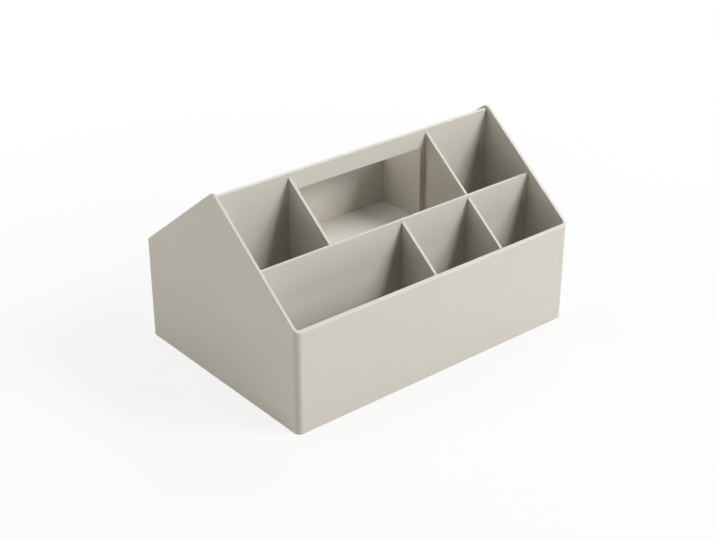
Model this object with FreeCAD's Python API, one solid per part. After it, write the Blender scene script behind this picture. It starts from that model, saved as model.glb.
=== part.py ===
import FreeCAD, Part
import math
import os

from FreeCAD import Vector

# An open carry box for tools: a gabled moulded shell, a ridge panel that carries the hand grip,
# upright dividers on both sides of it and a raised tray under the grip.
# Millimetres. X runs along the ridge, Y from front to back, Z up; the origin is the middle of the base.

# Shell
body_length = 330.0
body_depth = 232.0
eave_height = 101.0
apex_height = 191.0
wall = 2.8
floor = 3.0
corner_radius = 6.0
apex_radius = 6.0
base_edge_radius = 0.6
rim_edge_radius = 0.35
foot_band = 9.0
foot_recess = 0.8

# Ridge panel with the hand grip
spine_thickness = 3.2
spine_drop = 3.8
grip_depth = 19.0
grip_edge_radius = 1.4
jamb_width = 6.0
opening_corner_radius = 2.0
opening_edge_radius = 0.4

# Dividers
divider_thickness = 3.0
divider_drop = 7.3
divider_edge_radius = 0.3
long_divider_offset = 60.8
cross_divider_offset = 82.5

# Raised tray
tray_height = 89.5
tray_plate = 2.5
tray_wall = 2.2
tray_corner_radius = 1.0

# Tongues on the panels' ends, and the blind grooves that they snap into
groove_share = 0.28
tongue_rise = 10.0
tongue_headroom = 12.0
slip = 0.1

# Reach of every cutter past the face that it opens
overrun = 5.0

# Places that follow from the sizes above
inner_half_length = body_length / 2 - wall
inner_half_depth = body_depth / 2 - wall
roof_fall = (apex_height - eave_height) / (body_depth / 2)
spine_face = spine_thickness / 2
spine_top = apex_height - spine_drop
grip_underside = spine_top - grip_depth
half_divider = divider_thickness / 2
long_divider_inner_face = long_divider_offset - half_divider
long_divider_outer_face = long_divider_offset + half_divider
cross_divider_inner_face = cross_divider_offset - half_divider
opening_half_length = cross_divider_inner_face - jamb_width
tongue_foot = floor + tongue_rise
middle_row_places = (-cross_divider_offset, cross_divider_offset)
front_row_places = (0.0, cross_divider_offset)


def roof_height(y, drop=0.0):
    """Height of the sloping roof planes at a depth y, or of a plane the given drop below them."""
    return apex_height - roof_fall * abs(y) - drop


def block(x, y, z):
    """A box between the two values of each axis."""
    return Part.makeBox(x[1] - x[0], y[1] - y[0], z[1] - z[0], Vector(x[0], y[0], z[0]))


def runs_along(edge, axis):
    """True if a straight edge is parallel to an axis."""
    if not isinstance(edge.Curve, Part.Line):
        return False
    return abs(abs(edge.Curve.Direction.dot(axis)) - 1) < Part.Precision.confusion()


def middle(edge):
    """The point half-way along an edge."""
    return edge.valueAt((edge.FirstParameter + edge.LastParameter) / 2)


def level(a, b):
    """True if two lengths are the same place."""
    return abs(a - b) < Part.Precision.approximation()


def rounded_block(half_length, half_depth, radius, z):
    """An upright block, centred on the origin, with its four standing edges rounded."""
    solid = block((-half_length, half_length), (-half_depth, half_depth), z)
    standing = [edge for edge in solid.Edges if runs_along(edge, Vector(0, 0, 1))]
    return solid.makeFillet(radius, standing)


def groove_depth(thickness):
    """Depth of a blind groove in a wall or panel of the given thickness."""
    return groove_share * thickness


class Tongue:
    """The stepped end of a panel: how far it reaches, and the heights between which it does."""

    def __init__(self, host_thickness, foot, head):
        self.reach = groove_depth(host_thickness) - slip
        self.foot = foot
        self.head = head


def shell_tongue(panel_top):
    """A tongue that enters the shell's wall, for a panel whose end has the given height."""
    return Tongue(wall, tongue_foot, panel_top - tongue_headroom)


def panel_outline(start, end, top_start, top_end, tongue_start, tongue_end):
    """Outline of a panel in its own plane: flat foot, two tongued ends and a straight or sloping top."""
    return [
        (start, floor),
        (end, floor),
        (end, tongue_end.foot),
        (end + tongue_end.reach, tongue_end.foot),
        (end + tongue_end.reach, tongue_end.head),
        (end, tongue_end.head),
        (end, top_end),
        (start, top_start),
        (start, tongue_start.head),
        (start - tongue_start.reach, tongue_start.head),
        (start - tongue_start.reach, tongue_start.foot),
        (start, tongue_start.foot),
    ]


def extrude(points, normal, thickness):
    """A plate of the given thickness from a closed outline, centred on the plane of the outline."""
    face = Part.Face(Part.makePolygon(points + points[:1]))
    face.translate(normal * (-thickness / 2))
    return face.extrude(normal * thickness)


def lengthwise_panel(outline, y, thickness):
    """A panel that stands along X at the depth y."""
    return extrude([Vector(x, y, z) for x, z in outline], Vector(0, 1, 0), thickness)


def crosswise_panel(outline, x, thickness):
    """A panel that stands along Y at the place x."""
    return extrude([Vector(x, y, z) for y, z in outline], Vector(1, 0, 0), thickness)


def round_top(panel, radius, is_top):
    """Rounds the two long edges of a panel's top; is_top tells them by their middle point."""
    edges = [edge for edge in panel.Edges if is_top(edge)]
    return panel.makeFillet(radius, edges)


# The shell: floor and four walls in one moulding, cut off along the two roof planes
def roof_prism():
    """The space under the roof planes, with the ridge rounded over."""
    half = body_depth / 2 + overrun
    low = -overrun
    outline = [
        (-half, low),
        (half, low),
        (half, roof_height(half)),
        (0, apex_height),
        (-half, roof_height(half)),
    ]
    solid = crosswise_panel(outline, 0, body_length + 2 * overrun)
    ridge = [edge for edge in solid.Edges if level(middle(edge).z, apex_height)]
    return solid.makeFillet(apex_radius, ridge)


def is_rim(edge):
    """True for the shell's inner and outer edges along the cut of the roof planes."""
    point = middle(edge)
    crown = apex_height - apex_radius * (1 / math.cos(math.atan(roof_fall)) - 1)
    on_roof = level(point.z, roof_height(point.y)) or level(point.z, crown)
    return on_roof and not crosses_rim(edge)


def crosses_rim(edge):
    """True for the short edges on an end wall's rim that run from its outer face to its inner one."""
    return edge.Length < wall + Part.Precision.approximation() and runs_along(edge, Vector(1, 0, 0))


def wall_groove_x(side, y, thickness, head):
    """Cutter for an upright blind groove in an end wall; side is -1 for the left wall, 1 for the right."""
    reach = inner_half_length + groove_depth(wall)
    x = sorted((side * (inner_half_length - overrun), side * reach))
    half = thickness / 2 + slip
    return block(x, (y - half, y + half), (tongue_foot - slip, head + slip))


def wall_groove_front(x, head):
    """Cutter for an upright blind groove in the front wall."""
    y = (-inner_half_depth - groove_depth(wall), -inner_half_depth + overrun)
    half = half_divider + slip
    return block((x - half, x + half), y, (tongue_foot - slip, head + slip))


def outer_shell():
    """The gabled moulding with its rounded rim, foot recess and grooves."""
    height = apex_height + overrun
    solid = rounded_block(body_length / 2, body_depth / 2, corner_radius, (0, height))
    base = [edge for edge in solid.Edges if level(edge.BoundBox.ZMax, 0)]
    solid = solid.makeFillet(base_edge_radius, base)
    solid = solid.common(roof_prism())
    cavity = rounded_block(
        inner_half_length, inner_half_depth, corner_radius - wall, (floor, height + overrun)
    )
    solid = solid.cut(cavity)
    solid = solid.makeFillet(rim_edge_radius, [edge for edge in solid.Edges if is_rim(edge)])
    foot = rounded_block(
        body_length / 2 - foot_band, body_depth / 2 - foot_band, corner_radius, (-overrun, foot_recess)
    )
    long_head = shell_tongue(long_divider_top()).head
    cutters = [foot]
    for side in (-1, 1):
        cutters.append(wall_groove_x(side, 0, spine_thickness, shell_tongue(spine_top).head))
        for row in (-1, 1):
            cutters.append(wall_groove_x(side, row * long_divider_offset, divider_thickness, long_head))
    for x in front_row_places:
        cutters.append(wall_groove_front(x, shell_tongue(front_row_top()).head))
    return solid.cut(cutters)


# The ridge panel: its upper edge over the hand opening is the grip
def handle_spine():
    """The ridge panel, notched over the tray and pierced for the hand."""
    end = inner_half_length - slip
    tongue = shell_tongue(spine_top)
    outline = panel_outline(-end, end, spine_top, spine_top, tongue, tongue)
    solid = lengthwise_panel(outline, 0, spine_thickness)
    through = (-spine_face - overrun, spine_face + overrun)
    notch_length = (-cross_divider_inner_face, cross_divider_inner_face)
    notch = block(notch_length, through, (floor - overrun, tray_height))
    hand_length = (-opening_half_length, opening_half_length)
    hand = block(hand_length, through, (tray_height - overrun, grip_underside))
    upper_corners = [
        edge for edge in hand.Edges
        if runs_along(edge, Vector(0, 1, 0)) and level(middle(edge).z, grip_underside)
    ]
    solid = solid.cut([notch, hand.makeFillet(opening_corner_radius, upper_corners)])
    solid = solid.makeFillet(grip_edge_radius, [edge for edge in solid.Edges if is_grip_top(edge)])
    solid = solid.makeFillet(opening_edge_radius, [edge for edge in solid.Edges if is_opening_edge(edge)])
    side_tongue = spine_side_tongue()
    grooves = []
    for row in (-1, 1):
        y = sorted((row * (spine_face - groove_depth(spine_thickness)), row * (spine_face + overrun)))
        grooves += [face_groove(x, y, side_tongue.foot, side_tongue.head) for x in middle_row_places]
    return solid.cut(grooves)


def is_grip_top(edge):
    """True for the two long edges of the ridge panel's top."""
    return runs_along(edge, Vector(1, 0, 0)) and level(middle(edge).z, spine_top)


def is_opening_edge(edge):
    """True for the edges of both faces round the hand opening."""
    point = middle(edge)
    in_opening = tray_height < point.z < spine_top - grip_edge_radius
    return in_opening and level(abs(point.y), spine_face) and abs(point.x) < cross_divider_inner_face


def face_groove(x, y, foot, head):
    """Cutter for an upright blind groove that takes a cross divider's tongue in a lengthwise panel's face."""
    half = half_divider + slip
    return block((x - half, x + half), y, (foot - slip, head + slip))


# The long dividers, one on each side of the ridge, with level tops
def long_divider_top():
    """Height of a long divider: that of the sloping cross dividers where they meet its inner face."""
    return roof_height(long_divider_inner_face, divider_drop)


def is_long_divider_top(edge):
    """True for the two long edges of a long divider's top."""
    return runs_along(edge, Vector(1, 0, 0)) and level(middle(edge).z, long_divider_top())


def long_divider(row, inner_places, outer_places):
    """A full-length divider; row is -1 in front of the ridge and 1 behind it."""
    end = inner_half_length - slip
    top = long_divider_top()
    tongue = shell_tongue(top)
    outline = panel_outline(-end, end, top, top, tongue, tongue)
    solid = lengthwise_panel(outline, row * long_divider_offset, divider_thickness)
    solid = round_top(solid, divider_edge_radius, is_long_divider_top)
    depth = groove_depth(divider_thickness)
    inner = sorted((row * (long_divider_inner_face + depth), row * (long_divider_inner_face - overrun)))
    outer = sorted((row * (long_divider_outer_face - depth), row * (long_divider_outer_face + overrun)))
    grooves = [face_groove(x, inner, tongue_foot, long_side_head()) for x in inner_places]
    grooves += [face_groove(x, outer, tongue_foot, front_row_head()) for x in outer_places]
    return solid.cut(grooves)


# The cross dividers between the ridge panel and a long divider
def is_sloping_top(edge):
    """True for the long edges of a cross divider's sloping top."""
    point = middle(edge)
    return level(point.z, roof_height(point.y, divider_drop)) and edge.Length > 2 * divider_thickness


def spine_side_tongue():
    """Tongue of a cross divider where it enters the ridge panel, above the tray."""
    top = roof_height(spine_face + slip, divider_drop)
    return Tongue(spine_thickness, tray_height + tongue_rise, top - tongue_headroom)


def long_side_head():
    """Height of a cross divider's tongue where it enters the inner face of a long divider."""
    return long_divider_top() - tongue_headroom


def middle_row_divider(side, row):
    """A cross divider at one end of the tray; side is -1 for the left end, row -1 for the front half."""
    near = spine_face + slip
    far = long_divider_inner_face - slip
    outline = panel_outline(
        near,
        far,
        roof_height(near, divider_drop),
        roof_height(far, divider_drop),
        spine_side_tongue(),
        Tongue(divider_thickness, tongue_foot, long_side_head()),
    )
    outline = [(row * y, z) for y, z in outline]
    solid = crosswise_panel(outline, side * cross_divider_offset, divider_thickness)
    return round_top(solid, divider_edge_radius, is_sloping_top)


# The cross dividers of the front row
def front_row_top():
    """Height of a front row divider where it meets the front wall."""
    return roof_height(inner_half_depth - slip, divider_drop)


def front_row_head():
    """Height of a front row divider's tongue where it enters the long divider."""
    return roof_height(long_divider_outer_face + slip, divider_drop) - tongue_headroom


def front_row_divider(x):
    """A cross divider between the front long divider and the front wall."""
    near = long_divider_outer_face + slip
    far = inner_half_depth - slip
    outline = panel_outline(
        near,
        far,
        roof_height(near, divider_drop),
        front_row_top(),
        Tongue(divider_thickness, tongue_foot, front_row_head()),
        shell_tongue(front_row_top()),
    )
    outline = [(-y, z) for y, z in outline]
    solid = crosswise_panel(outline, x, divider_thickness)
    return round_top(solid, divider_edge_radius, is_sloping_top)


# The raised tray: a hollow plinth that closes the middle of the box under the grip
def raised_tray():
    """The plinth, open underneath, whose top is the tray's floor."""
    half_length = cross_divider_inner_face - slip
    half_depth = long_divider_inner_face - slip
    solid = rounded_block(half_length, half_depth, tray_corner_radius, (floor, tray_height))
    hollow = block(
        (tray_wall - half_length, half_length - tray_wall),
        (tray_wall - half_depth, half_depth - tray_wall),
        (floor - overrun, tray_height - tray_plate),
    )
    return solid.cut(hollow)


pieces = {
    "outer_shell": outer_shell(),
    "handle_spine": handle_spine(),
    "front_long_divider": long_divider(-1, middle_row_places, front_row_places),
    "rear_long_divider": long_divider(1, middle_row_places, ()),
    "front_left_divider": middle_row_divider(-1, -1),
    "front_right_divider": middle_row_divider(1, -1),
    "rear_left_divider": middle_row_divider(-1, 1),
    "rear_right_divider": middle_row_divider(1, 1),
    "front_row_centre_divider": front_row_divider(front_row_places[0]),
    "front_row_right_divider": front_row_divider(front_row_places[1]),
    "raised_tray": raised_tray(),
}

os.makedirs("parts", exist_ok=True)
for name, shape in pieces.items():
    shape.exportStep(f"parts/{name}.step")
    box = shape.BoundBox
    print(f"{name}: {len(shape.Solids)} solid, valid {shape.isValid()}, volume {shape.Volume:.0f} mm3,"
          f" {box.XLength:.1f} x {box.YLength:.1f} x {box.ZLength:.1f}")
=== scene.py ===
"""Studio scene of an open carry box for tools.

The box is moulded in one warm light grey plastic: a gabled shell, a ridge panel whose top is
the hand grip, upright dividers on both sides of it and a raised tray under the grip.
Metres. X runs along the ridge, Y from the front to the back and Z up, as in the frame.
"""
import logging
import math
from collections.abc import Callable, Sequence
from dataclasses import dataclass, replace
from enum import Enum, IntEnum
from typing import NamedTuple

import bmesh
import bpy
from mathutils import Matrix, Vector


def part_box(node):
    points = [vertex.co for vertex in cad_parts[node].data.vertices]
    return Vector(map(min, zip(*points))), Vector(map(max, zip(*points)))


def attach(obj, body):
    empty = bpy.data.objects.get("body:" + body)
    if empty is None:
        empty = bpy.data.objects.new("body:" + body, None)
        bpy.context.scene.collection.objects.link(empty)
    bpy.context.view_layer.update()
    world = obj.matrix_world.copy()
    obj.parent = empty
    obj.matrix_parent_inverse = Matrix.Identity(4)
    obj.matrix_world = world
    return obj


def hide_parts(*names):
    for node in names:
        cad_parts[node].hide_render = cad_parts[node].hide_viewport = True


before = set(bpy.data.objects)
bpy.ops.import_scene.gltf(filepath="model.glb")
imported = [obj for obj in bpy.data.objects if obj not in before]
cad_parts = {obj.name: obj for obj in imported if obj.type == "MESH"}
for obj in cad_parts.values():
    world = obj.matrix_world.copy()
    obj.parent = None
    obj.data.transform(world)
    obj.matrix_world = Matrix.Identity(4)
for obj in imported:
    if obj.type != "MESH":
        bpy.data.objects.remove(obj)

log = logging.getLogger("carry_box")

Colour = tuple[float, float, float]
Point = tuple[float, float, float]
EdgeTest = Callable[[bmesh.types.BMEdge], bool]

MM = 0.001
UP = Vector((0.0, 0.0, 1.0))
BODY = "root"
WORN_EDGE = "worn_edge"

# Limits: places that count as one, edges that count as parallel to an axis, and shading
TOUCH = 0.01 * MM
CUT_TOUCH = TOUCH / 10
LEAST_COSINE = 0.99
QUAD_SIDES = 4
SHARP_ANGLE = math.radians(46)
LARGE_FACES_LEAD = 100

# Colours of the lamps and of the surrounding
WHITE = (1.0, 1.0, 1.0)
WARM_WHITE = (1.0, 0.972, 0.89)
OPAQUE = 1.0


class Axis(IntEnum):
    """The frame's axes: along the ridge, from the front to the back, and up."""

    X = 0
    Y = 1
    Z = 2


class Sense(IntEnum):
    """The two ways along an axis."""

    BACK = -1
    ON = 1


class Row(Enum):
    """The halves of the box in front of the ridge and behind it."""

    FRONT = -1
    REAR = 1


class Side(Enum):
    """The two ends of the box."""

    LEFT = -1
    RIGHT = 1


class Slot(Enum):
    """The material slots."""

    SHELL = "shell_plastic"
    DIVIDER = "divider_plastic"
    TRAY = "tray_plastic"


class Ramp(Enum):
    """The ways from one end of a range to the other."""

    STRAIGHT = "LINEAR"
    SMOOTH = "SMOOTHSTEP"


class Blend(Enum):
    """What a mix is made of."""

    NUMBERS = "FLOAT"
    COLOURS = "RGBA"


class Range(NamedTuple):
    """The two ends of a range of numbers."""

    low: float
    high: float


# Mesh tools
@dataclass(frozen=True)
class Rounding:
    """A rounded edge: its reach on the faces beside it, its faces, and its wear from 0 to 1."""

    radius: float
    segments: int
    wear: float = 1.0


def near(a: float, b: float) -> bool:
    """Tells whether two lengths are the same place."""
    return abs(a - b) < TOUCH


def midpoint(edge: bmesh.types.BMEdge) -> Vector:
    """Gives the point half-way along an edge."""
    return (edge.verts[0].co + edge.verts[1].co) / 2


def runs_along(edge: bmesh.types.BMEdge, axis: Axis) -> bool:
    """Tells whether an edge is parallel to an axis."""
    way = (edge.verts[1].co - edge.verts[0].co).normalized()
    return abs(way[axis]) > LEAST_COSINE


def meets(face: bmesh.types.BMFace, low: float, high: float, axis: Axis) -> bool:
    """Tells whether a face lies between two places along an axis, at least in part.

    Args:
        face: The face.
        low: The lower place.
        high: The higher place; where it is the lower one too, the whole face has to lie there.
        axis: The axis that the places are on.

    Returns:
        Whether it does.
    """
    places = [v.co[axis] for v in face.verts]
    if near(low, high):
        return near(min(places), low) and near(max(places), low)
    return min(places) < high - TOUCH and max(places) > low + TOUCH


class Moulding:
    """A mesh in the making, shaped by operators and turned into an object at the end."""

    def __init__(self) -> None:
        """Starts an empty mesh with a mark for the faces of its rounded edges."""
        self.bm = bmesh.new()
        self.worn = self.bm.faces.layers.float.new(WORN_EDGE)

    def upright_block(self, half_length: float, half_depth: float, bottom: float, top: float,
                      corner: Rounding) -> None:
        """Adds a box over the origin and rounds its four standing edges.

        Args:
            half_length: Half its size along X.
            half_depth: Half its size along Y.
            bottom: Height of its foot.
            top: Height of its top.
            corner: The rounding of its standing edges.
        """
        low = Vector((-half_length, -half_depth, bottom))
        high = Vector((half_length, half_depth, top))
        place = Matrix.Translation((low + high) / 2) @ Matrix.Diagonal((*(high - low), 1.0))
        bmesh.ops.create_cube(self.bm, size=1.0, matrix=place)
        self.round(
            lambda e: runs_along(e, Axis.Z) and near(abs(midpoint(e).x), half_length)
            and near(abs(midpoint(e).y), half_depth),
            corner,
        )

    def plate(self, outline: Sequence[Vector], thickness: Vector) -> None:
        """Adds a flat plate.

        Args:
            outline: The corners of one of its faces.
            thickness: The way from that face to the other one.
        """
        face = self.bm.faces.new([self.bm.verts.new(point) for point in outline])
        self.push([face], thickness)
        self.face_outwards()

    def push(self, flat: list[bmesh.types.BMFace | bmesh.types.BMEdge], way: Vector) -> None:
        """Extrudes a flat region.

        Args:
            flat: Its faces, which stay, or its faces and edges, where the faces are to go.
            way: The way from the region to the new faces.
        """
        grown = bmesh.ops.extrude_face_region(self.bm, geom=flat)["geom"]
        moved = [item for item in grown if isinstance(item, bmesh.types.BMVert)]
        bmesh.ops.translate(self.bm, verts=moved, vec=way)

    def open_face(self, height: float) -> None:
        """Takes away the level faces at a height."""
        faces = [f for f in self.bm.faces if all(near(v.co.z, height) for v in f.verts)]
        bmesh.ops.delete(self.bm, geom=faces, context="FACES")

    def cut_above(self, point: Vector, normal: Vector) -> None:
        """Takes away what lies beyond a plane, and leaves the cut open.

        Args:
            point: A point of the plane.
            normal: The plane's normal, towards what goes.
        """
        everything = [*self.bm.verts, *self.bm.edges, *self.bm.faces]
        bmesh.ops.bisect_plane(
            self.bm, geom=everything, dist=CUT_TOUCH, plane_co=point, plane_no=normal, clear_outer=True
        )

    def join_rims(self) -> list[bmesh.types.BMFace]:
        """Bridges the mesh's two open rims and gives the new faces."""
        edges = [e for e in self.bm.edges if e.is_boundary]
        return bmesh.ops.bridge_loops(self.bm, edges=edges)["faces"]

    def fill_ring(self, height: float) -> None:
        """Closes the level ring between two open rims at a height."""
        edges = [e for e in self.bm.edges if e.is_boundary and near(midpoint(e).z, height)]
        bmesh.ops.triangle_fill(self.bm, edges=edges, use_beauty=True, normal=-UP)

    def faces_at(self, low: Vector, high: Vector) -> list[bmesh.types.BMFace]:
        """Gives the faces that lie in the plane of an upright rectangle and share room with it."""
        return [f for f in self.bm.faces if all(meets(f, low[axis], high[axis], axis) for axis in Axis)]

    def lines_above(self, low: Vector, high: Vector) -> list[bmesh.types.BMEdge]:
        """Finds the upright edges that stand over the two sides of an upright rectangle.

        Args:
            low: The rectangle's lowest corner.
            high: Its highest corner.

        Returns:
            The edges, in the mesh's order.
        """
        found = []
        for edge in self.bm.edges:
            foot = min((v.co for v in edge.verts), key=lambda co: co.z)
            in_line = any(near(foot.x, corner.x) and near(foot.y, corner.y) for corner in (low, high))
            if in_line and runs_along(edge, Axis.Z) and foot.z > high.z - TOUCH:
                found.append(edge)
        return found

    def sink(self, low: Vector, high: Vector, way: Vector) -> None:
        """Sinks an upright rectangle of a flat face into what lies behind it.

        Args:
            low: The rectangle's lowest corner, on the face.
            high: Its highest corner.
            way: The way from the face to the floor of the groove.
        """
        for normal in (UP.cross(way).normalized(), UP):
            for corner in (low, high):
                faces = self.faces_at(low, high)
                around = dict.fromkeys(item for f in faces for item in (*f.verts, *f.edges))
                bmesh.ops.bisect_plane(
                    self.bm, geom=[*around, *faces], dist=CUT_TOUCH, plane_co=corner, plane_no=normal
                )
        faces = self.faces_at(low, high)
        edges = dict.fromkeys(e for f in faces for e in f.edges)
        self.push([*faces, *edges], way)
        bmesh.ops.dissolve_edges(self.bm, edges=self.lines_above(low, high), use_verts=True)

    def round(self, wanted: EdgeTest, rounding: Rounding) -> None:
        """Rounds edges and marks their faces with their wear.

        Args:
            wanted: Tells the edges to round.
            rounding: Their rounding.
        """
        edges = [e for e in self.bm.edges if wanted(e)]
        made = bmesh.ops.bevel(
            self.bm, geom=edges, offset=rounding.radius, offset_type="OFFSET", segments=rounding.segments,
            profile=0.5, affect="EDGES", material=-1, clamp_overlap=True,
        )
        for face in made["faces"]:
            face[self.worn] = rounding.wear

    def face_outwards(self) -> None:
        """Turns every face of the closed mesh outwards."""
        bmesh.ops.recalc_face_normals(self.bm, faces=self.bm.faces[:])

    def piece(self, name: str) -> bpy.types.Object:
        """Ends the modelling.

        Args:
            name: Name of the object.

        Returns:
            A smooth-shaded object at the origin, whose flat faces stay flat.
        """
        mesh = bpy.data.meshes.new(name)
        many_sided = [f for f in self.bm.faces if len(f.verts) > QUAD_SIDES]
        bmesh.ops.triangulate(self.bm, faces=many_sided, ngon_method="BEAUTY")
        self.bm.to_mesh(mesh)
        self.bm.free()
        mesh.shade_smooth()
        mesh.set_sharp_from_angle(angle=SHARP_ANGLE)
        made = bpy.data.objects.new(name, mesh)
        bpy.context.scene.collection.objects.link(made)
        shading = made.modifiers.new("flat_faces", "WEIGHTED_NORMAL")
        shading.keep_sharp = True
        shading.weight = LARGE_FACES_LEAD
        return made


# Finishes
class Wiring:
    """Adds and joins the nodes of one shader."""

    def __init__(self, tree: bpy.types.NodeTree) -> None:
        """Clears the tree.

        Args:
            tree: Node tree of a material or of the world.
        """
        self.tree = tree
        tree.nodes.clear()

    def feed(self, socket: bpy.types.NodeSocket, value: object) -> None:
        """Joins an output to an input, or sets the input's own value.

        Args:
            socket: The input.
            value: An output socket, or a plain value.
        """
        if isinstance(value, bpy.types.NodeSocket):
            self.tree.links.new(value, socket)
        else:
            socket.default_value = value

    def add(self, kind: str, settings: dict[str, object] | None = None,
            **values: object) -> bpy.types.Node:
        """Adds a node.

        Args:
            kind: The node's type, without its usual prefix.
            settings: The node's own options.
            values: Output sockets or plain values for its live inputs, by their labels without spaces.

        Returns:
            The new node.
        """
        node = self.tree.nodes.new("ShaderNode" + kind)
        for option, value in (settings or {}).items():
            setattr(node, option, value)
        for label, value in values.items():
            socket = next(s for s in node.inputs if s.enabled and s.name.replace(" ", "") == label)
            self.feed(socket, value)
        return node

    def result(self, kind: str, settings: dict[str, object] | None = None,
               **values: object) -> bpy.types.NodeSocket:
        """Adds a node, as add does, and gives its first live output."""
        node = self.add(kind, settings, **values)
        return next(s for s in node.outputs if s.enabled)

    def calculate(self, operation: str, first: object, second: object) -> bpy.types.NodeSocket:
        """Works on two numbers.

        Args:
            operation: What is done, as the math node names it.
            first: A socket or a number.
            second: A socket or a number.

        Returns:
            The socket with the result.
        """
        node = self.add("Math", {"operation": operation})
        for socket, value in zip(node.inputs, (first, second)):
            self.feed(socket, value)
        return node.outputs["Value"]

    def stretch(self, value: bpy.types.NodeSocket, seen: Range, wanted: Range = Range(0.0, 1.0),
                ramp: Ramp = Ramp.STRAIGHT) -> bpy.types.NodeSocket:
        """Stretches a range of numbers to another one, and holds what lies outside at its ends.

        Args:
            value: The socket with the number.
            seen: The range that it comes in.
            wanted: The range that it goes to.
            ramp: The way from one end to the other.

        Returns:
            The socket with the stretched number.
        """
        return self.result(
            "MapRange", {"interpolation_type": ramp.value}, Value=value,
            FromMin=seen.low, FromMax=seen.high, ToMin=wanted.low, ToMax=wanted.high,
        )

    def mix(self, kind: Blend, share: bpy.types.NodeSocket, first: object,
            second: object) -> bpy.types.NodeSocket:
        """Mixes two numbers or two colours, by the share of the second one."""
        return self.result("Mix", {"data_type": kind.value}, Factor=share, A=first, B=second)

    def mix_shaders(self, share: bpy.types.NodeSocket, first: bpy.types.NodeSocket,
                    second: bpy.types.NodeSocket) -> bpy.types.NodeSocket:
        """Mixes two shaders.

        Args:
            share: Share of the second shader.
            first: Output of the first shader.
            second: Output of the second shader.

        Returns:
            The socket with the mixed shader.
        """
        node = self.add("MixShader", Fac=share)
        inputs = [s for s in node.inputs if s.name == "Shader"]
        for socket, shader in zip(inputs, (first, second)):
            self.feed(socket, shader)
        return node.outputs["Shader"]


@dataclass(frozen=True)
class Noise:
    """An even noise: how often it swells per metre, and how many finer layers it has."""

    scale: float
    detail: float
    roughness: float = 0.55

    def value(self, wire: Wiring, place: bpy.types.NodeSocket) -> bpy.types.NodeSocket:
        """Gives the noise at a place, from 0 to 1."""
        return wire.result(
            "TexNoise", Vector=place, Scale=self.scale, Detail=self.detail, Roughness=self.roughness
        )


@dataclass(frozen=True)
class MouldedPlastic:
    """A matte plastic with the fine grain of an eroded mould."""

    name: str
    colour: Colour
    clouds: Noise = Noise(scale=11.0, detail=2.0)
    cloud_share: float = 0.7
    specks: Noise = Noise(scale=850.0, detail=1.0)
    tone_spread: float = 0.022
    grain: Noise = Noise(scale=1700.0, detail=3.0)
    grain_height: float = 0.016 * MM
    sinks: Noise = Noise(scale=38.0, detail=1.0)
    sink_height: float = 0.10 * MM
    haze: Noise = Noise(scale=90.0, detail=4.0)
    slow_range: Range = Range(0.3, 0.7)
    roughness: Range = Range(0.50, 0.62)
    handling: Noise = Noise(scale=55.0, detail=3.0)
    handling_range: Range = Range(0.36, 0.62)
    least_wear: float = 0.35
    worn_roughness: float = 0.40
    worn_lift: float = 0.05

    def shade(self, factor: float) -> tuple[float, float, float, float]:
        """Gives the plastic's colour, lightened or darkened by a factor."""
        return (*(min(1.0, part * factor) for part in self.colour), OPAQUE)

    def material(self) -> bpy.types.Material:
        """Makes the shader.

        Returns:
            A material on object coordinates, with grain, sink marks, tone and worn edges.
        """
        made = bpy.data.materials.new(self.name)
        made.use_nodes = True
        wire = Wiring(made.node_tree)
        place = wire.add("TexCoord").outputs["Object"]
        worn = self.worn_edges(wire, place)
        plastic = wire.result(
            "BsdfPrincipled",
            BaseColor=self.tone(wire, place, worn),
            Roughness=self.gloss(wire, place, worn),
            Normal=self.relief(wire, place),
        )
        wire.add("OutputMaterial", Surface=plastic)
        return made

    def worn_edges(self, wire: Wiring, place: bpy.types.NodeSocket) -> bpy.types.NodeSocket:
        """Finds how far handling has polished a rounded edge, broken up along its length.

        Args:
            wire: The material's nodes.
            place: The socket with the object coordinates.

        Returns:
            The socket with the wear, from 0 to 1.
        """
        mark = wire.add("Attribute", {"attribute_name": WORN_EDGE}).outputs["Fac"]
        patches = wire.stretch(
            self.handling.value(wire, place), self.handling_range, Range(self.least_wear, 1.0)
        )
        return wire.calculate("MULTIPLY", mark, patches)

    def tone(self, wire: Wiring, place: bpy.types.NodeSocket,
             worn: bpy.types.NodeSocket) -> bpy.types.NodeSocket:
        """Mixes slow clouds of tone and fine specks, lighter on worn edges.

        Args:
            wire: The material's nodes.
            place: The socket with the object coordinates.
            worn: The socket with the wear.

        Returns:
            The socket with the colour.
        """
        cloud = wire.stretch(self.clouds.value(wire, place), self.slow_range)
        speck = self.specks.value(wire, place)
        light = wire.calculate(
            "ADD", wire.calculate("MULTIPLY", cloud, self.cloud_share),
            wire.calculate("MULTIPLY", speck, 1 - self.cloud_share),
        )
        face = wire.mix(
            Blend.COLOURS, light, self.shade(1 - self.tone_spread), self.shade(1 + self.tone_spread)
        )
        return wire.mix(Blend.COLOURS, worn, face, self.shade(1 + self.worn_lift))

    def gloss(self, wire: Wiring, place: bpy.types.NodeSocket,
              worn: bpy.types.NodeSocket) -> bpy.types.NodeSocket:
        """Gives the roughness: cloudy on the faces, smoother on worn edges."""
        face = wire.stretch(self.haze.value(wire, place), self.slow_range, self.roughness)
        return wire.mix(Blend.NUMBERS, worn, face, self.worn_roughness)

    def relief(self, wire: Wiring, place: bpy.types.NodeSocket) -> bpy.types.NodeSocket:
        """Lays the mould's grain over the slow hollows of a cooled wall.

        Args:
            wire: The material's nodes.
            place: The socket with the object coordinates.

        Returns:
            The socket with the normal.
        """
        hollows = wire.result(
            "Bump", Height=self.sinks.value(wire, place), Distance=self.sink_height, Strength=1.0
        )
        return wire.result(
            "Bump", Height=self.grain.value(wire, place), Distance=self.grain_height, Strength=1.0,
            Normal=hollows,
        )


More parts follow.
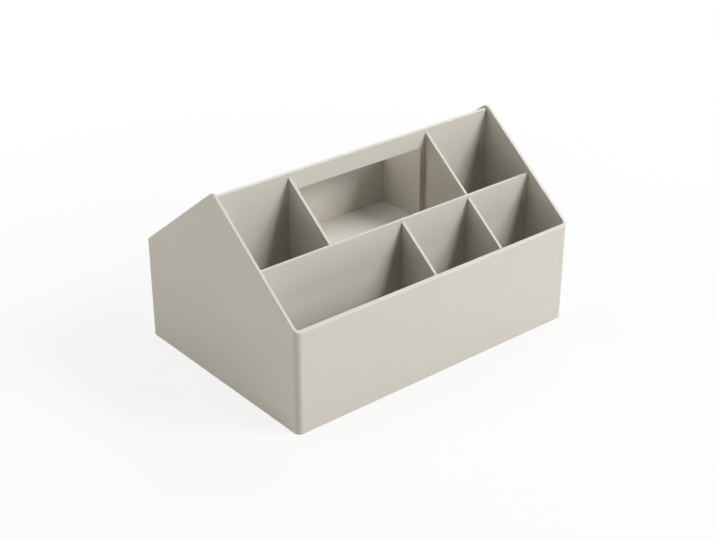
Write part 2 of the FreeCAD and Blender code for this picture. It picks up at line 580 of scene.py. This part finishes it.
# Pieces of the box
@dataclass(frozen=True)
class Tongue:
    """The stepped end of a panel, which seats in a blind groove in the piece beside it."""

    half_width: float
    reach: float
    foot: float
    head: float
    slip: float

    def end_outline(self, end: float, outwards: Sense, floor: float,
                    top: float) -> list[tuple[float, float]]:
        """Gives the outline of the panel's end.

        Args:
            end: Place of the end along the panel.
            outwards: The way that leads out of the panel.
            floor: Height of the panel's foot.
            top: Height of the panel's top at this end.

        Returns:
            Places along the panel and heights, from the foot to the top.
        """
        tip = end + outwards * self.reach
        return [
            (end, floor), (end, self.foot), (tip, self.foot), (tip, self.head), (end, self.head), (end, top)
        ]

    def cut_groove(self, mould: Moulding, mouth: Vector, inwards: Vector) -> None:
        """Sinks the groove that takes the tongue.

        Args:
            mould: The piece that gets the groove.
            mouth: A point of its face, on the panel's middle plane.
            inwards: The unit vector from the face into the piece.
        """
        across = Vector((abs(inwards.y), abs(inwards.x), 0)) * (self.half_width + self.slip)
        low = Vector((mouth.x, mouth.y, self.foot - self.slip)) - across
        high = Vector((mouth.x, mouth.y, self.head + self.slip)) + across
        mould.sink(low, high, inwards * (self.reach + self.slip))


@dataclass(frozen=True)
class BoxSizes:
    """The sizes that the pieces share, read from the frame's solids where these show them."""

    length: float
    depth: float
    floor: float
    ridge_top: float
    ridge_thickness: float
    divider: float
    long_offset: float
    long_top: float
    cross_offset: float
    tray_height: float
    apex: float = 191 * MM
    eave: float = 101 * MM
    wall: float = 2.8 * MM
    divider_drop: float = 7.3 * MM
    grip_depth: float = 19 * MM
    jamb_width: float = 6 * MM
    groove_share: float = 0.28
    tongue_rise: float = 10 * MM
    tongue_headroom: float = 12 * MM
    slip: float = 0.1 * MM

    @classmethod
    def from_frame(cls) -> "BoxSizes":
        """Reads the sizes from the boxes of the frame's solids.

        Returns:
            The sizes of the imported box.
        """
        shell_low, shell_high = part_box("outer_shell")
        ridge_low, ridge_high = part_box("handle_spine")
        long_low, long_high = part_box("front_long_divider")
        cross_low, cross_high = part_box("front_right_divider")
        tray_low, tray_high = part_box("raised_tray")
        return cls(
            length=shell_high.x - shell_low.x,
            depth=shell_high.y - shell_low.y,
            floor=tray_low.z,
            ridge_top=ridge_high.z,
            ridge_thickness=ridge_high.y - ridge_low.y,
            divider=long_high.y - long_low.y,
            long_offset=-(long_low.y + long_high.y) / 2,
            long_top=long_high.z,
            cross_offset=(cross_low.x + cross_high.x) / 2,
            tray_height=tray_high.z,
        )

    @property
    def fall(self) -> float:
        """Drop of the roof planes for each unit of depth away from the ridge."""
        return (self.apex - self.eave) / (self.depth / 2)

    @property
    def inner_half_length(self) -> float:
        """Place of the end walls' inner faces."""
        return self.length / 2 - self.wall

    @property
    def inner_half_depth(self) -> float:
        """Place of the front and back walls' inner faces."""
        return self.depth / 2 - self.wall

    @property
    def long_inner_face(self) -> float:
        """Place of a long divider's face towards the ridge."""
        return self.long_offset - self.divider / 2

    @property
    def long_outer_face(self) -> float:
        """Place of a long divider's face towards the front or back wall."""
        return self.long_offset + self.divider / 2

    @property
    def cross_inner_face(self) -> float:
        """Place of the cross dividers' faces towards the tray."""
        return self.cross_offset - self.divider / 2

    @property
    def front_row_places(self) -> tuple[float, float]:
        """Places of the front row's dividers along the box."""
        return 0.0, self.cross_offset

    def below_roof(self, y: float) -> float:
        """Gives the height of the cross dividers' tops at a depth."""
        return self.apex - self.fall * abs(y) - self.divider_drop

    def roof_plane(self, row: Row) -> tuple[Vector, Vector]:
        """Gives a point of one roof plane, on the ridge line, and its upward normal."""
        return Vector((0, 0, self.apex)), Vector((0, row.value * self.fall, 1)).normalized()

    def tongue(self, panel: float, host: float, ground: float, top: float) -> Tongue:
        """Gives the tongue at one end of a panel.

        Args:
            panel: Thickness of the panel.
            host: Thickness of the wall or panel that has the groove.
            ground: Height above which the tongue rises.
            top: Height of the panel's end.

        Returns:
            The tongue, which stays below the panel's top.
        """
        return Tongue(
            half_width=panel / 2, reach=self.groove_share * host - self.slip,
            foot=ground + self.tongue_rise, head=top - self.tongue_headroom, slip=self.slip,
        )

    @property
    def ridge_to_wall(self) -> Tongue:
        """The ridge panel's tongues, in the end walls."""
        return self.tongue(self.ridge_thickness, self.wall, self.floor, self.ridge_top)

    @property
    def long_to_wall(self) -> Tongue:
        """The long dividers' tongues, in the end walls."""
        return self.tongue(self.divider, self.wall, self.floor, self.long_top)

    @property
    def middle_to_ridge(self) -> Tongue:
        """The middle dividers' tongues in the ridge panel, above the tray."""
        top = self.below_roof(self.ridge_thickness / 2 + self.slip)
        return self.tongue(self.divider, self.ridge_thickness, self.tray_height, top)

    @property
    def middle_to_long(self) -> Tongue:
        """The middle dividers' tongues in the long dividers."""
        return self.tongue(self.divider, self.divider, self.floor, self.long_top)

    @property
    def front_to_long(self) -> Tongue:
        """The front row's tongues in the front long divider."""
        top = self.below_roof(self.long_outer_face + self.slip)
        return self.tongue(self.divider, self.divider, self.floor, top)

    @property
    def front_to_wall(self) -> Tongue:
        """The front row's tongues in the front wall."""
        top = self.below_roof(self.inner_half_depth - self.slip)
        return self.tongue(self.divider, self.wall, self.floor, top)


@dataclass(frozen=True)
class Part:
    """One moulded piece, which stands for one solid of the frame."""

    name: str
    node: str
    slot: Slot
    sizes: BoxSizes

    def shape(self) -> Moulding:
        """Models the piece."""
        raise NotImplementedError

    def build(self) -> bpy.types.Object:
        """Models the piece and sets it on the frame in place of its solid.

        Returns:
            The piece's object.
        """
        made = self.shape().piece(self.name)
        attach(made, BODY)
        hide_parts(self.node)
        return made

    def dress(self, made: bpy.types.Object, finishes: dict[Slot, bpy.types.Material]) -> None:
        """Gives the piece's object the finish of its slot."""
        made.data.materials.append(finishes[self.slot])


@dataclass(frozen=True)
class Shell(Part):
    """Floor and four walls in one moulding, cut off along the roof planes."""

    corner: Rounding = Rounding(radius=6 * MM, segments=12, wear=0.0)
    apex_edge: Rounding = Rounding(radius=6 * MM, segments=10, wear=0.0)
    base_edge: Rounding = Rounding(radius=0.6 * MM, segments=4, wear=0.6)
    rim_edge: Rounding = Rounding(radius=0.35 * MM, segments=3)
    foot_band: float = 9 * MM
    foot_recess: float = 0.8 * MM

    def shape(self) -> Moulding:
        """Models the shell from an outer and an inner skin that meet at the rim.

        Returns:
            The mesh in the making.
        """
        sizes = self.sizes
        mould = Moulding()
        above = sizes.apex + self.corner.radius
        self.outer_skin(mould, above)
        self.foot(mould)
        mould.upright_block(
            sizes.inner_half_length, sizes.inner_half_depth, sizes.floor, above,
            replace(self.corner, radius=self.corner.radius - sizes.wall),
        )
        mould.open_face(above)
        for row in Row:
            mould.cut_above(*sizes.roof_plane(row))
        self.rim(mould)
        self.grooves(mould)
        return mould

    def outer_skin(self, mould: Moulding, above: float) -> None:
        """Models the outside, with soft corners and a fine edge round the base.

        Args:
            mould: The mesh in the making.
            above: A height above the roof, where the skin is open.
        """
        mould.upright_block(self.sizes.length / 2, self.sizes.depth / 2, 0.0, above, self.corner)
        mould.open_face(above)
        mould.round(lambda e: all(near(v.co.z, 0.0) for v in e.verts), self.base_edge)

    def foot(self, mould: Moulding) -> None:
        """Models the flat band that the box stands on, round a shallow recess.

        Args:
            mould: The mesh in the making.
        """
        mould.open_face(0.0)
        mould.upright_block(
            self.sizes.length / 2 - self.foot_band, self.sizes.depth / 2 - self.foot_band,
            0.0, self.foot_recess, self.corner,
        )
        mould.open_face(0.0)
        mould.fill_ring(0.0)

    def rim(self, mould: Moulding) -> None:
        """Closes the rim along the roof planes, rounds the two apexes and softens the edges.

        Args:
            mould: The mesh in the making.
        """
        mark = mould.bm.faces.layers.int.new("rim")
        for face in mould.join_rims():
            face[mark] = True
        mould.face_outwards()
        mould.round(
            lambda e: all(f[mark] for f in e.link_faces) and near(midpoint(e).y, 0.0),
            replace(self.apex_edge, radius=self.apex_edge.radius * self.sizes.fall),
        )
        mould.round(
            lambda e: any(f[mark] for f in e.link_faces) and not all(f[mark] for f in e.link_faces),
            self.rim_edge,
        )
        mould.bm.faces.layers.int.remove(mark)

    def grooves(self, mould: Moulding) -> None:
        """Sinks the grooves for the panels' tongues in the end walls and the front wall.

        Args:
            mould: The mesh in the making.
        """
        sizes = self.sizes
        for side in Side:
            face = side.value * sizes.inner_half_length
            outwards = Vector((side.value, 0, 0))
            sizes.ridge_to_wall.cut_groove(mould, Vector((face, 0, 0)), outwards)
            for row in Row:
                mouth = Vector((face, row.value * sizes.long_offset, 0))
                sizes.long_to_wall.cut_groove(mould, mouth, outwards)
        for place in sizes.front_row_places:
            mouth = Vector((place, Row.FRONT.value * sizes.inner_half_depth, 0))
            sizes.front_to_wall.cut_groove(mould, mouth, Vector((0, Row.FRONT.value, 0)))


@dataclass(frozen=True)
class RidgePanel(Part):
    """The panel along the ridge, notched over the tray and pierced for the hand."""

    grip_edge: Rounding = Rounding(radius=1.4 * MM, segments=8)
    opening_corner: Rounding = Rounding(radius=2 * MM, segments=8, wear=0.0)
    opening_edge: Rounding = Rounding(radius=0.4 * MM, segments=3)

    @property
    def grip_underside(self) -> float:
        """Height of the hand opening's top."""
        return self.sizes.ridge_top - self.sizes.grip_depth

    def outline(self) -> list[Vector]:
        """Draws the panel with its notch, its opening and its tongues.

        Returns:
            The corners of its front face.
        """
        sizes = self.sizes
        end = sizes.inner_half_length - sizes.slip
        opening = sizes.cross_inner_face - sizes.jamb_width
        half = [
            (opening, self.grip_underside),
            (opening, sizes.tray_height),
            (sizes.cross_inner_face, sizes.tray_height),
            (sizes.cross_inner_face, sizes.floor),
            *sizes.ridge_to_wall.end_outline(end, Sense.ON, sizes.floor, sizes.ridge_top),
        ]
        around = half + [(-x, z) for x, z in reversed(half)]
        return [Vector((x, -sizes.ridge_thickness / 2, z)) for x, z in around]

    def shape(self) -> Moulding:
        """Models the panel with a rounded grip and fine edges round the hand opening.

        Returns:
            The mesh in the making.
        """
        sizes = self.sizes
        mould = Moulding()
        mould.plate(self.outline(), Vector((0, sizes.ridge_thickness, 0)))
        mould.round(
            lambda e: runs_along(e, Axis.Y) and near(midpoint(e).z, self.grip_underside),
            self.opening_corner,
        )
        mould.round(self.is_opening_edge, self.opening_edge)
        mould.round(
            lambda e: runs_along(e, Axis.X) and near(midpoint(e).z, sizes.ridge_top),
            self.grip_edge,
        )
        for row in Row:
            for side in Side:
                mouth = Vector((side.value * sizes.cross_offset, row.value * sizes.ridge_thickness / 2, 0))
                sizes.middle_to_ridge.cut_groove(mould, mouth, Vector((0, -row.value, 0)))
        return mould

    def is_opening_edge(self, edge: bmesh.types.BMEdge) -> bool:
        """Tells the edges of both faces round the hand opening.

        Args:
            edge: Any edge of the panel.

        Returns:
            Whether it is one of them.
        """
        point = midpoint(edge)
        on_face = near(abs(point.y), self.sizes.ridge_thickness / 2)
        in_height = self.sizes.tray_height < point.z < self.sizes.ridge_top - TOUCH
        return on_face and in_height and abs(point.x) < self.sizes.cross_inner_face


@dataclass(frozen=True)
class LongDivider(Part):
    """A divider along the whole box, parallel to the ridge, with a level top."""

    row: Row
    top_edge: Rounding = Rounding(radius=0.3 * MM, segments=3)

    def shape(self) -> Moulding:
        """Models the divider with tongued ends and a softened top.

        Returns:
            The mesh in the making.
        """
        sizes = self.sizes
        end = sizes.inner_half_length - sizes.slip
        half = sizes.long_to_wall.end_outline(end, Sense.ON, sizes.floor, sizes.long_top)
        around = half + [(-x, z) for x, z in reversed(half)]
        mould = Moulding()
        mould.plate(
            [Vector((x, self.row.value * sizes.long_inner_face, z)) for x, z in around],
            Vector((0, self.row.value * sizes.divider, 0)),
        )
        mould.round(
            lambda e: runs_along(e, Axis.X) and near(midpoint(e).z, sizes.long_top),
            self.top_edge,
        )
        self.grooves(mould)
        return mould

    def grooves(self, mould: Moulding) -> None:
        """Sinks the grooves for the cross dividers' tongues in the faces that these meet.

        Args:
            mould: The mesh in the making.
        """
        sizes = self.sizes
        outwards = Vector((0, self.row.value, 0))
        for side in Side:
            mouth = Vector((side.value * sizes.cross_offset, self.row.value * sizes.long_inner_face, 0))
            sizes.middle_to_long.cut_groove(mould, mouth, outwards)
        if self.row is Row.FRONT:
            for place in sizes.front_row_places:
                mouth = Vector((place, self.row.value * sizes.long_outer_face, 0))
                sizes.front_to_long.cut_groove(mould, mouth, -outwards)


@dataclass(frozen=True)
class CrossDivider(Part):
    """A divider across one row of compartments, whose top slopes with the roof."""

    row: Row
    place: float
    inner: float
    inner_tongue: Tongue
    outer: float
    outer_tongue: Tongue
    top_edge: Rounding = Rounding(radius=0.3 * MM, segments=3)

    def outline(self) -> list[Vector]:
        """Draws the divider with its sloping top and its tongues.

        Returns:
            The corners of its left face.
        """
        sizes = self.sizes
        near_end = self.inner + sizes.slip
        far_end = self.outer - sizes.slip
        near_top = sizes.below_roof(near_end)
        far_top = sizes.below_roof(far_end)
        near_side = self.inner_tongue.end_outline(near_end, Sense.BACK, sizes.floor, near_top)
        far_side = self.outer_tongue.end_outline(far_end, Sense.ON, sizes.floor, far_top)
        left = self.place - sizes.divider / 2
        return [Vector((left, self.row.value * y, z)) for y, z in far_side + near_side[::-1]]

    def shape(self) -> Moulding:
        """Models the divider with tongued ends and a softened, sloping top.

        Returns:
            The mesh in the making.
        """
        mould = Moulding()
        mould.plate(self.outline(), Vector((self.sizes.divider, 0, 0)))
        mould.round(self.is_top_edge, self.top_edge)
        return mould

    def is_top_edge(self, edge: bmesh.types.BMEdge) -> bool:
        """Tells the long edges of the divider's top."""
        on_top = all(near(v.co.z, self.sizes.below_roof(v.co.y)) for v in edge.verts)
        return on_top and not runs_along(edge, Axis.X)


@dataclass(frozen=True)
class RaisedTray(Part):
    """The hollow plinth whose top is the tray's floor."""

    plate: float = 2.5 * MM
    wall: float = 2.2 * MM
    corner: Rounding = Rounding(radius=1 * MM, segments=4, wear=0.0)
    inner_corner: Rounding = Rounding(radius=0.4 * MM, segments=4, wear=0.0)

    def shape(self) -> Moulding:
        """Models the plinth from an outer and an inner skin that meet at its open foot.

        Returns:
            The mesh in the making.
        """
        sizes = self.sizes
        half_length = sizes.cross_inner_face - sizes.slip
        half_depth = sizes.long_inner_face - sizes.slip
        mould = Moulding()
        mould.upright_block(half_length, half_depth, sizes.floor, sizes.tray_height, self.corner)
        mould.upright_block(
            half_length - self.wall, half_depth - self.wall, sizes.floor, sizes.tray_height - self.plate,
            self.inner_corner,
        )
        mould.open_face(sizes.floor)
        mould.fill_ring(sizes.floor)
        mould.face_outwards()
        return mould


@dataclass(frozen=True)
class CarryBox:
    """The whole box: its parts in the order of their making, and its finishes."""

    sizes: BoxSizes
    colour: Colour = (0.618, 0.594, 0.533)

    def parts(self) -> list[Part]:
        """Lists the box's parts.

        Returns:
            The shell, the ridge panel, the dividers and the tray.
        """
        listed: list[Part] = [
            Shell("gabled_shell", "outer_shell", Slot.SHELL, self.sizes),
            RidgePanel("ridge_grip_panel", "handle_spine", Slot.DIVIDER, self.sizes),
        ]
        for row in Row:
            word = row.name.lower()
            listed.append(
                LongDivider(f"{word}_long_panel", f"{word}_long_divider", Slot.DIVIDER, self.sizes, row)
            )
            listed += [self.middle_divider(row, side) for side in Side]
        for word, place in zip(("front_row_centre", "front_row_right"), self.sizes.front_row_places):
            listed.append(self.front_divider(word, place))
        listed.append(RaisedTray("tray_plinth", "raised_tray", Slot.TRAY, self.sizes))
        return listed

    def middle_divider(self, row: Row, side: Side) -> CrossDivider:
        """Gives the divider at one end of the tray, between the ridge and a long divider."""
        word = f"{row.name.lower()}_{side.name.lower()}"
        return CrossDivider(
            f"{word}_panel", f"{word}_divider", Slot.DIVIDER, self.sizes, row,
            place=side.value * self.sizes.cross_offset,
            inner=self.sizes.ridge_thickness / 2, inner_tongue=self.sizes.middle_to_ridge,
            outer=self.sizes.long_inner_face, outer_tongue=self.sizes.middle_to_long,
        )

    def front_divider(self, word: str, place: float) -> CrossDivider:
        """Gives a divider between the front long divider and the front wall."""
        return CrossDivider(
            f"{word}_panel", f"{word}_divider", Slot.DIVIDER, self.sizes, Row.FRONT,
            place=place, inner=self.sizes.long_outer_face, inner_tongue=self.sizes.front_to_long,
            outer=self.sizes.inner_half_depth, outer_tongue=self.sizes.front_to_wall,
        )

    def finishes(self) -> dict[Slot, bpy.types.Material]:
        """Makes the plastic of each slot, all in the same colour."""
        return {slot: MouldedPlastic(slot.value, self.colour).material() for slot in Slot}


# Studio
@dataclass(frozen=True)
class PhotoCamera:
    """A camera without shift at the photograph's viewing angle; its angles are in degrees."""

    eye: Point = (-0.7923, -0.9517, 0.7120)
    azimuth: float = -39.72
    elevation: float = 27.75
    focal_pixels: float = 1450.0
    image_width: float = 716.0
    sensor: float = 36.0

    def build(self) -> None:
        """Sets up the camera and makes it the scene's own."""
        data = bpy.data.cameras.new("photo_camera")
        data.sensor_width = self.sensor
        data.lens = self.focal_pixels / self.image_width * self.sensor
        made = bpy.data.objects.new("photo_camera", data)
        made.location = self.eye
        made.rotation_euler = (math.pi / 2 - math.radians(self.elevation), 0.0, math.radians(self.azimuth))
        bpy.context.scene.collection.objects.link(made)
        bpy.context.scene.camera = made


@dataclass(frozen=True)
class SoftBox:
    """A lamp with a wide, soft face, turned to the box; its angles are in degrees, its power in watts."""

    name: str
    azimuth: float
    elevation: float
    distance: float
    width: float
    height: float
    power: float
    colour: Colour = WHITE
    aim: Point = (0.0, 0.0, 0.1)

    def build(self) -> None:
        """Hangs the lamp."""
        turn = math.radians(self.azimuth)
        rise = math.radians(self.elevation)
        away = Vector((math.sin(turn) * math.cos(rise), -math.cos(turn) * math.cos(rise), math.sin(rise)))
        data = bpy.data.lights.new(self.name, "AREA")
        data.shape = "RECTANGLE"
        data.size = self.width
        data.size_y = self.height
        data.energy = self.power
        data.color = self.colour
        made = bpy.data.objects.new(self.name, data)
        made.location = Vector(self.aim) + away * self.distance
        made.rotation_euler = (-away).to_track_quat("-Z", "Y").to_euler()
        bpy.context.scene.collection.objects.link(made)


@dataclass(frozen=True)
class Studio:
    """A white floor that fades into a white surrounding, with soft lamps."""

    lamps: tuple[SoftBox, ...] = (
        SoftBox("key_softbox", azimuth=28.0, elevation=34.0, distance=5.0,
                width=0.8, height=1.0, power=62.5),
        SoftBox("low_softbox", azimuth=38.0, elevation=22.0, distance=5.0,
                width=1.8, height=2.2, power=80.5),
        SoftBox("side_softbox", azimuth=48.0, elevation=40.0, distance=5.0,
                width=1.8, height=2.2, power=86.5),
        SoftBox("top_softbox", azimuth=0.0, elevation=88.0, distance=2.0,
                width=0.8, height=0.8, power=3.8),
        SoftBox("left_fill", azimuth=-110.0, elevation=10.0, distance=2.0,
                width=1.6, height=1.6, power=15.4, colour=WARM_WHITE),
        SoftBox("rear_overhead", azimuth=-150.0, elevation=60.0, distance=3.0,
                width=2.0, height=1.6, power=18.0),
        SoftBox("right_overhead", azimuth=120.0, elevation=40.0, distance=3.0,
                width=2.0, height=1.6, power=35.5),
    )
    floor_half_size: float = 6.0
    floor_height: float = -0.1 * MM
    floor_colour: Colour = (0.86, 0.86, 0.86)
    floor_white: Range = Range(0.82, 1.0)
    floor_fade: Range = Range(0.22, 0.75)

    def seen_directly(self, wire: Wiring) -> bpy.types.NodeSocket:
        """Tells what the eye sees, also in gloss or through glass, from the light on the box.

        Args:
            wire: The nodes of the floor or of the surrounding.

        Returns:
            The socket with 1 for the eye and 0 for the light on the box.
        """
        path = wire.add("LightPath").outputs
        seen = wire.calculate("MAXIMUM", path["Is Camera Ray"], path["Is Glossy Ray"])
        return wire.calculate("MAXIMUM", seen, path["Is Transmission Ray"])

    def surrounding(self) -> None:
        """Sets the world: white to the eye, and dark to the box, which the lamps alone light."""
        world = bpy.data.worlds.new("white_room")
        world.use_nodes = True
        bpy.context.scene.world = world
        wire = Wiring(world.node_tree)
        white = wire.result("Background", Color=(*WHITE, OPAQUE), Strength=self.seen_directly(wire))
        wire.add("OutputWorld", Surface=white)

    def floor_finish(self) -> bpy.types.Material:
        """Makes the floor's shader.

        Returns:
            A material that keeps the box's shadow, and turns white further away.
        """
        made = bpy.data.materials.new("white_floor")
        made.use_nodes = True
        wire = Wiring(made.node_tree)
        place = wire.add("TexCoord").outputs["Object"]
        away = wire.result("VectorMath", {"operation": "LENGTH"}, Vector=place)
        white = wire.stretch(away, self.floor_fade, self.floor_white, Ramp.SMOOTH)
        share = wire.calculate("MULTIPLY", self.seen_directly(wire), white)
        shadowed = wire.result("BsdfDiffuse", Color=(*self.floor_colour, OPAQUE))
        plain = wire.result("Emission", Color=(*WHITE, OPAQUE), Strength=1.0)
        wire.add("OutputMaterial", Surface=wire.mix_shaders(share, shadowed, plain))
        return made

    def floor(self) -> None:
        """Lays the floor, apart from the box."""
        bm = bmesh.new()
        bmesh.ops.create_grid(
            bm, x_segments=1, y_segments=1, size=self.floor_half_size,
            matrix=Matrix.Translation((0, 0, self.floor_height)),
        )
        mesh = bpy.data.meshes.new("studio_floor")
        bm.to_mesh(mesh)
        bm.free()
        mesh.materials.append(self.floor_finish())
        made = bpy.data.objects.new("studio_floor", mesh)
        bpy.context.scene.collection.objects.link(made)

    def build(self) -> None:
        """Sets up the floor, the surrounding and the lamps."""
        bpy.context.scene.view_settings.view_transform = "Standard"
        self.surrounding()
        self.floor()
        for lamp in self.lamps:
            lamp.build()


def main() -> None:
    """Builds the camera, the studio and the box, and reports each piece."""
    logging.basicConfig(level=logging.INFO, format="%(name)s: %(message)s")
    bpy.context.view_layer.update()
    PhotoCamera().build()
    Studio().build()
    box = CarryBox(BoxSizes.from_frame())
    finishes = box.finishes()
    for part in box.parts():
        made = part.build()
        part.dress(made, finishes)
        log.info("%s stands for %s, %d faces", made.name, part.node, len(made.data.polygons))


if __name__ == "__main__":
    main()
